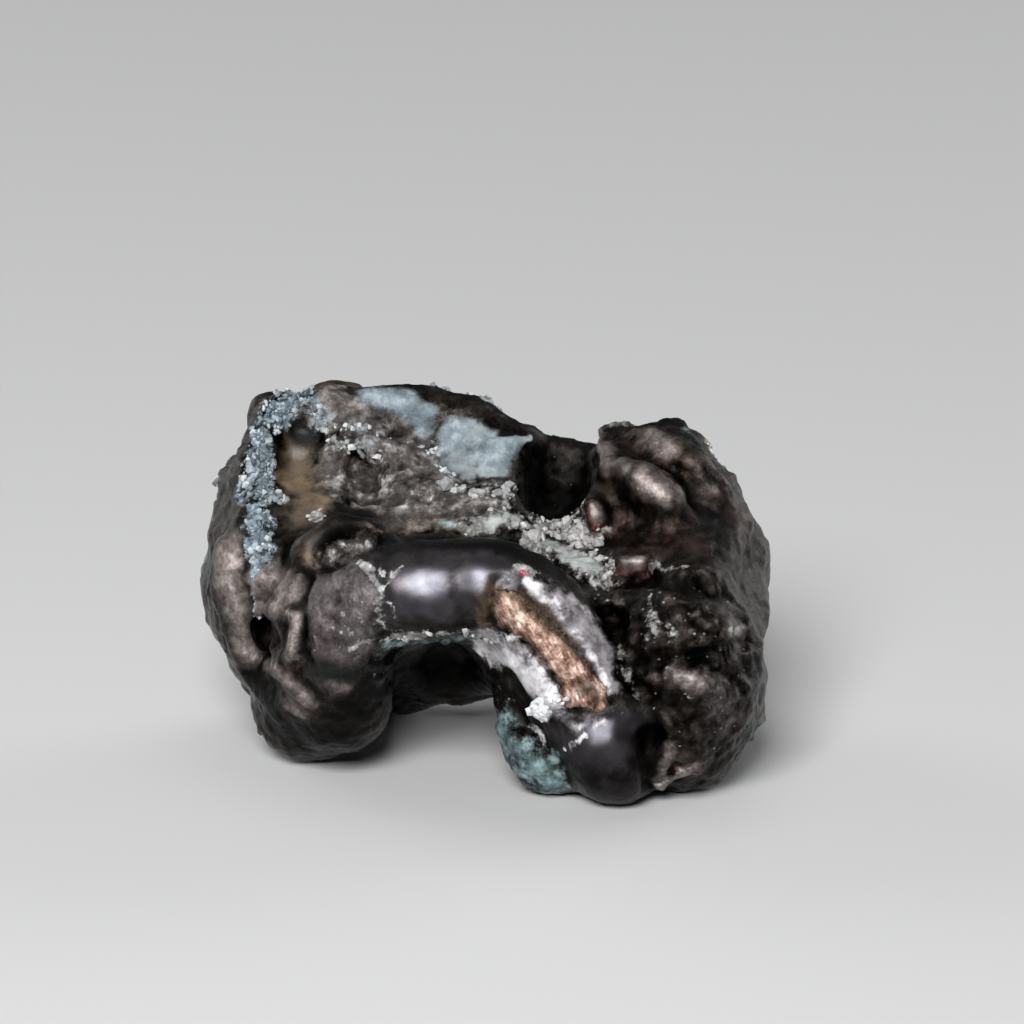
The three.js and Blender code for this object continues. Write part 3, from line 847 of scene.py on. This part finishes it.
def weigh(piece, name, weights):
    group = piece.vertex_groups.new(name=name)
    levels = np.round(np.clip(weights, 0, 1) * WEIGHT_STEPS).astype(int)
    for level in range(1, WEIGHT_STEPS + 1):
        group.add(np.flatnonzero(levels == level).tolist(), level / WEIGHT_STEPS, "REPLACE")


def roughen(piece, group, kind, spacing, height, level, settings):
    texture = bpy.data.textures.new(group, kind)
    texture.noise_scale = spacing * MM
    for name, value in settings.items():
        setattr(texture, name, value)
    apply_modifier(
        piece, "DISPLACE", texture=texture, texture_coords="LOCAL", vertex_group=group,
        strength=height * MM, mid_level=level,
    )


def lie_above_floor(places):
    places[:, 2] = np.maximum(places[:, 2], 0)
    return places


def depth_of_hollows(piece):
    """How far each vertex lies below the middle of its surroundings: 0.5 on a flat, more in a hollow."""
    places = places_of(piece)
    edges = np.empty(len(piece.data.edges) * 2, dtype=int)
    piece.data.edges.foreach_get("vertices", edges)
    start, end = edges.reshape(-1, 2).T
    count = np.bincount(start, minlength=len(places)) + np.bincount(end, minlength=len(places))
    middle = places
    for _ in range(HOLLOW_REACH):
        total = np.zeros_like(places)
        for axis in range(3):
            total[:, axis] += np.bincount(start, middle[end, axis], len(places))
            total[:, axis] += np.bincount(end, middle[start, axis], len(places))
        middle = total / count[:, None]
    depth = ((middle - places) * outward(piece)).sum(axis=1)
    return np.clip(0.5 + depth / (2 * HOLLOW_DEPTH), 0, 1)


def make_nugget():
    piece = copy_of_solid("nugget", "copper_nugget")
    sculpt(piece)
    masks = paint(piece)
    hidden = far_sides(piece)
    add_far_patches(piece, masks, hidden)
    for group, weights in relief_weights(masks, hidden).items():
        weigh(piece, group, weights)
    for relief in RELIEF:
        roughen(piece, *relief)
    for name, mask in masks.items():
        keep_mask(piece, name, mask)
    move_to(piece, lie_above_floor(places_of(piece)))
    keep_mask(piece, "hollow", depth_of_hollows(piece))
    select_only(piece)
    bpy.ops.object.shade_smooth()
    return piece


def grain_chances(piece, mask, clearance):
    """How likely a grain is at each vertex, for grains that lie on a mask clear of the floor."""
    level = np.clip(values_of(piece, mask) - GRAIN_START, 0, GRAIN_RISE)
    weight = level * (GRAIN_GREY_SHARE + values_of(piece, "azure"))
    weight *= places_of(piece)[:, 2] > clearance
    for name, limit in GRAIN_FREE.items():
        weight *= values_of(piece, name) < limit
    return weight / weight.sum()


def scatter_grains(piece, name):
    """Small angular stones, half sunk into the crusted parts of a piece."""
    chance = np.random.RandomState(GRAIN_SEED)
    places = places_of(piece)
    normals = outward(piece)
    azure = values_of(piece, "azure")
    bpy.ops.object.select_all(action="DESELECT")
    bpy.ops.mesh.primitive_ico_sphere_add(subdivisions=1, radius=1)
    grains = bpy.context.active_object
    grains.name = name
    shape = places_of(grains)
    faces = np.array([list(face.vertices) for face in grains.data.polygons])
    corners = []
    tints = []
    tones = []
    for mask, number, (small, large), (dull, bright) in GRAINS:
        chances = grain_chances(piece, mask, large * MM)
        for vertex in chance.choice(len(places), number, replace=False, p=chances):
            radius = (small + (large - small) * chance.rand() ** GRAIN_SIZE_POWER) * MM
            lumps = 1 + GRAIN_LUMPS * (chance.rand(len(shape), 1) - 0.5)
            stretch = GRAIN_STRETCH[0] + GRAIN_STRETCH[1] * chance.rand(3)
            turn = np.array(Euler(chance.rand(3) * math.tau).to_matrix())
            middle = places[vertex] + normals[vertex] * radius * GRAIN_LIFT
            corners.append((shape * lumps * stretch) @ turn * radius + middle)
            tints.append(np.full(len(shape), azure[vertex]))
            tones.append(np.full(len(shape), dull + (bright - dull) * chance.rand() ** GRAIN_TONE_POWER))
    all_faces = np.concatenate([faces + count * len(shape) for count in range(len(corners))])
    grains.data.clear_geometry()
    grains.data.from_pydata(lie_above_floor(np.concatenate(corners)), [], all_faces)
    grains.data.name = name
    keep_mask(grains, "azure", np.concatenate(tints))
    keep_mask(grains, "tone", np.concatenate(tones))
    return grains


class Surface:
    """A material in the making. Its methods add shader nodes and give the socket of their result."""

    def __init__(self, name):
        self.material = bpy.data.materials.new(name)
        self.material.use_nodes = True
        self.tree = self.material.node_tree
        self.shader = self.tree.nodes["Principled BSDF"]

    def fill(self, node, name, value):
        """Sets an input of a node to a value, or links it to a socket."""
        if isinstance(value, bpy.types.NodeSocket):
            self.tree.links.new(value, node.inputs[name])
        else:
            node.inputs[name].default_value = value

    def add(self, kind, inputs, **settings):
        node = self.tree.nodes.new("ShaderNode" + kind)
        for name, value in settings.items():
            setattr(node, name, value)
        for name, value in inputs.items():
            self.fill(node, name, value)
        return node

    def finish(self, **inputs):
        for name, value in inputs.items():
            self.fill(self.shader, name.replace("_", " "), value)
        return self.material

    def place(self):
        return self.add("TexCoord", {}).outputs["Object"]

    def mask(self, name):
        return self.add("Attribute", {}, attribute_name=name).outputs["Fac"]

    def pattern(self, place, spacing, detail, rough):
        inputs = {"Vector": place, "Scale": 1 / (spacing * MM), "Detail": detail, "Roughness": rough}
        return self.add("TexNoise", inputs).outputs["Fac"]

    def math(self, operation, *values):
        return self.add("Math", dict(enumerate(values)), operation=operation).outputs[0]

    def product(self, a, b):
        return self.math("MULTIPLY", a, b)

    def most(self, first, *others):
        largest = first
        for value in others:
            largest = self.math("MAXIMUM", largest, value)
        return largest

    def sum_of(self, a, b, share=1.0):
        return self.math("MULTIPLY_ADD", b, share, a)

    def blend(self, a, share_a, b, share_b):
        return self.sum_of(self.product(a, share_a), b, share_b)

    def between(self, value, low, high, to_low=0.0, to_high=1.0):
        inputs = {"Value": value, "From Min": low, "From Max": high, "To Min": to_low, "To Max": to_high}
        return self.add("MapRange", inputs, interpolation_type="SMOOTHSTEP").outputs["Result"]

    def ragged(self, name, pattern, spread, edge):
        """A mask whose edge is torn by a pattern."""
        middle = 0.5 + spread / 2
        value = self.sum_of(self.mask(name), pattern, spread)
        return self.between(value, middle - edge, middle + edge)

    def ramp(self, value, stops):
        node = self.add("ValToRGB", {"Fac": value})
        elements = node.color_ramp.elements
        while len(elements) < len(stops):
            elements.new(0.5)
        for element, (position, colour) in zip(elements, stops):
            element.position = position
            element.color = (*colour, 1)
        return node.outputs["Color"]

    def layer(self, under, over, share, how="MIX"):
        inputs = {"Factor": share, 6: under, 7: over}
        return self.add("Mix", inputs, data_type="RGBA", blend_type=how).outputs[2]

    def level(self, under, over, share):
        inputs = {"Factor": share, 2: under, 3: over}
        return self.add("Mix", inputs, data_type="FLOAT").outputs[0]


def drawn_out(look, place):
    """Places pushed together along the leg, so that a pattern on them is drawn out into fibres."""
    run = look.add("VectorMath", {0: place, 1: LEG_LINE}, operation="DOT_PRODUCT").outputs["Value"]
    shorter = look.product(run, FIBRE_STRETCH)
    taken = look.add("VectorMath", {0: LEG_LINE, "Scale": shorter}, operation="SCALE").outputs[0]
    return look.add("VectorMath", {0: place, 1: taken}, operation="SUBTRACT").outputs[0]


def nugget_patterns(look, place):
    found = {name: look.pattern(place, *values) for name, values in PATTERNS.items()}
    found["fibres"] = look.pattern(drawn_out(look, place), *FIBRES)
    found["torn"] = look.blend(found["mottle"], 0.55, found["speckle"], 0.45)
    found["patchy"] = look.blend(found["mottle"], 0.8, found["speckle"], 0.2)
    found["streaks"] = look.blend(found["fibres"], 0.4, found["mottle"], 0.6)

    # Brighter where the copper's and the bloom's paint is strong
    found["worn"] = look.sum_of(found["streaks"], look.sum_of(look.mask("copper"), -0.8), 0.14)
    found["frosty"] = look.sum_of(found["patchy"], look.sum_of(look.mask("bloom"), -0.8), 0.12)
    return found


def nugget_shares(look, place, patterns):
    """How far each finish covers what lies under it."""
    shares = {}
    for name, (pattern, spread, edge) in EDGES.items():
        shares[name] = look.ragged(name, patterns[pattern], spread, edge)
    shares["crust"] = look.most(shares["crust"], shares["vein"])

    # Metal rubbed lighter where it stands proud
    proud = look.between(look.mask("hollow"), 0.45, 0.15)
    shares["rubbed"] = look.product(proud, look.between(patterns["torn"], 0.4, 0.6, 0.15, 0.7))

    # Specks in about a quarter of the cells of the gritty metal
    cell = look.add("TexVoronoi", {"Vector": place, "Scale": 1 / (SPECK_SPACING * MM)})
    chosen = look.between(cell.outputs["Color"], 0.74, 0.76)
    uneven = look.sum_of(cell.outputs["Distance"], patterns["fine"], 0.8)
    dots = look.product(chosen, look.between(uneven, 0.68, 0.56))
    shares["specks"] = look.product(dots, shares["grit"])
    return shares


def nugget_colours(look, patterns, azure):
    colours = {name: (*colour, 1) for name, colour in PLAIN_COLOURS.items()}
    for name, (pattern, stops) in COLOURS.items():
        colours[name] = look.ramp(patterns[pattern], stops)
    for name in ("crust", "bloom"):
        colours[name] = look.layer(colours["grey_" + name], colours["blue_" + name], azure)
    return colours


def nugget_bump(look, patterns, shares):
    """Fine relief: strong on stony finishes, weak on waxy and smooth ones, and fibrous on bare copper."""
    stony = look.most(*[shares[name] for name in STONY_FINISHES])
    waxy = look.most(*[shares[name] for name in WAXY_FINISHES])
    smooth = look.most(shares["polish"], look.product(waxy, 0.6))
    height = look.blend(patterns["fine"], 0.6, patterns["speckle"], 0.6)
    height = look.product(height, look.between(stony, 0.0, 1.0, 0.42, 1.0))
    height = look.product(height, look.between(smooth, 0.0, 1.0, 1.0, 0.15))
    fibrous = look.blend(patterns["fibres"], 0.6, patterns["speckle"], 0.9)
    height = look.level(height, fibrous, shares["copper"])
    inputs = {"Height": height, "Strength": BUMP_STRENGTH, "Distance": BUMP_HEIGHT}
    return look.add("Bump", inputs).outputs[0]


def nugget_material():
    look = Surface("tarnished_copper_and_crust")
    place = look.place()
    patterns = nugget_patterns(look, place)
    shares = nugget_shares(look, place, patterns)
    colours = nugget_colours(look, patterns, shares["azure"])
    colour = colours["tarnish"]
    metallic = 1.0
    roughness = look.between(patterns["mottle"], 0.35, 0.65, *TARNISH_ROUGHNESS)
    for name, metallic_here, roughness_here in FINISHES:
        colour = look.layer(colour, colours[name], shares[name])
        if metallic_here is not None:
            metallic = look.level(metallic, metallic_here, shares[name])
        if roughness_here is not None:
            roughness = look.level(roughness, roughness_here, shares[name])
    # Painted shade: the colour darkens in hollows, the more the deeper they are
    hollow = look.between(look.mask("hollow"), 0.5, 0.95)
    colour = look.layer(colour, look.ramp(hollow, HOLLOW_PAINTED_SHADE), 1.0, "MULTIPLY")
    bump = nugget_bump(look, patterns, shares)
    return look.finish(Base_Color=colour, Metallic=metallic, Roughness=roughness, Normal=bump)


def grain_material():
    look = Surface("crust_stones")
    stain = look.pattern(look.place(), *STAINS)
    value = look.blend(stain, 0.6, look.mask("tone"), 0.4)
    grey = look.ramp(value, GREY_GRAINS)
    blue = look.ramp(value, BLUE_GRAINS)
    colour = look.layer(grey, blue, look.mask("azure"))
    return look.finish(Base_Color=colour, Roughness=GRAIN_ROUGHNESS)


def make_floor():
    bpy.ops.object.select_all(action="DESELECT")
    bpy.ops.mesh.primitive_plane_add(size=FLOOR_SIZE)
    floor = bpy.context.active_object
    floor.name = "floor"
    material = Surface("pale_floor").finish(Base_Color=FLOOR_COLOUR, Roughness=FLOOR_ROUGHNESS)
    floor.data.materials.append(material)


def soft_light(name, azimuth, elevation, distance, size, power):
    """A square softbox that faces the nugget. Azimuth 0 is the front, 90 the right side."""
    turn = math.radians(azimuth)
    lift = math.radians(elevation)
    out = Vector((math.sin(turn) * math.cos(lift), -math.cos(turn) * math.cos(lift), math.sin(lift)))
    bpy.ops.object.light_add(type="AREA", location=LIGHTS_AIM + out * distance)
    light = bpy.context.active_object
    light.name = name
    light.rotation_euler = out.to_track_quat("Z", "Y").to_euler()
    light.data.size = size
    light.data.energy = power


def make_lights():
    for light in LIGHTS:
        soft_light(*light)
    world = bpy.data.worlds.new("studio")
    world.use_nodes = True
    world.node_tree.nodes["Background"].inputs["Color"].default_value = WORLD_COLOUR
    bpy.context.scene.world = world


def make_camera():
    bpy.ops.object.camera_add(location=CAMERA_PLACE)
    camera = bpy.context.active_object
    camera.rotation_euler = VIEW_BACK.to_track_quat("Z", "Y").to_euler()
    camera.data.sensor_width = SENSOR_WIDTH
    camera.data.lens = SENSOR_WIDTH * FOCAL_PIXELS / VIEW_SIDE
    camera.data.clip_start = CLIP_START
    bpy.context.scene.camera = camera


nugget = make_nugget()
nugget.data.materials.clear()
nugget.data.materials.append(nugget_material())
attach(nugget, "root")
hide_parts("nugget")

grains = scatter_grains(nugget, "crust_grains")
grains.data.materials.append(grain_material())
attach(grains, "root")

make_floor()
make_lights()
make_camera()
bpy.context.scene.view_settings.view_transform = "Standard"
